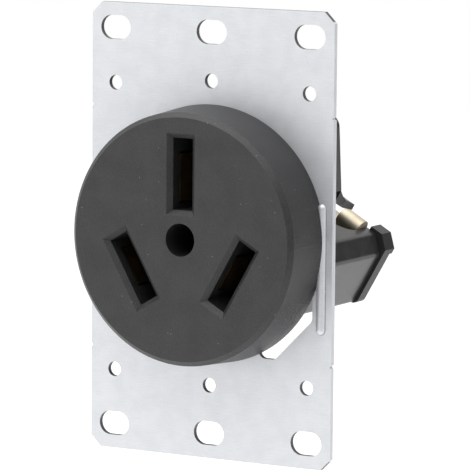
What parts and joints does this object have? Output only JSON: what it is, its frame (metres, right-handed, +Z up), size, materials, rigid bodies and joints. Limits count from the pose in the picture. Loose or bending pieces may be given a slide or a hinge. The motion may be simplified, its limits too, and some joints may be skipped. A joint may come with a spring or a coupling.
{
  "type": "three-slot dryer receptacle",
  "caption": "Flush-mounted round power receptacle: black slotted face on a slotted zinc strap, with a moulded rear housing, brass wire lugs and folded spring contacts.",
  "frame": {"origin": "front face of the mounting strap, on the axis of the round face and at the centre of the box screw slots", "axes": "+X to the right as seen from the room, +Y into the wall, +Z up"},
  "size_m": [0.0576, 0.0502, 0.0938],
  "materials": {
    "zinc_strap": "bright zinc plate with a fine grain",
    "cap_plastic": "fine matte moulding texture",
    "body_plastic": "smooth satin moulding",
    "cover_plastic": "smooth satin moulding",
    "contact_brass": "rolled strip",
    "lug_brass": "bright machined",
    "rivet_brass": "headed",
    "spring_steel": "tempered spring strip",
    "screw_steel": "zinc plated",
    "dark_steel": "black oxide"
  },
  "bodies": {
    "root": {"mounting_strap": "zinc_strap", "face_cap": "cap_plastic", "rear_body": "body_plastic", "rear_cover": "cover_plastic", "assembly_screw": "dark_steel", "screw_washer": "screw_steel", "assembly_nut": "screw_steel", "contact_neutral": "contact_brass", "contact_spring_neutral": "spring_steel", "terminal_lug_neutral": "lug_brass", "terminal_screw_neutral": "screw_steel", "lug_rivet_neutral": "rivet_brass", "cover_screw_neutral": "screw_steel", "contact_line_left": "contact_brass", "contact_spring_line_left": "spring_steel", "terminal_lug_line_left": "lug_brass", "terminal_screw_line_left": "screw_steel", "lug_rivet_line_left": "rivet_brass", "cover_screw_line_left": "screw_steel", "contact_line_right": "contact_brass", "contact_spring_line_right": "spring_steel", "terminal_lug_line_right": "lug_brass", "terminal_screw_line_right": "screw_steel", "lug_rivet_line_right": "rivet_brass", "cover_screw_line_right": "screw_steel"}
  },
  "joints": []
}
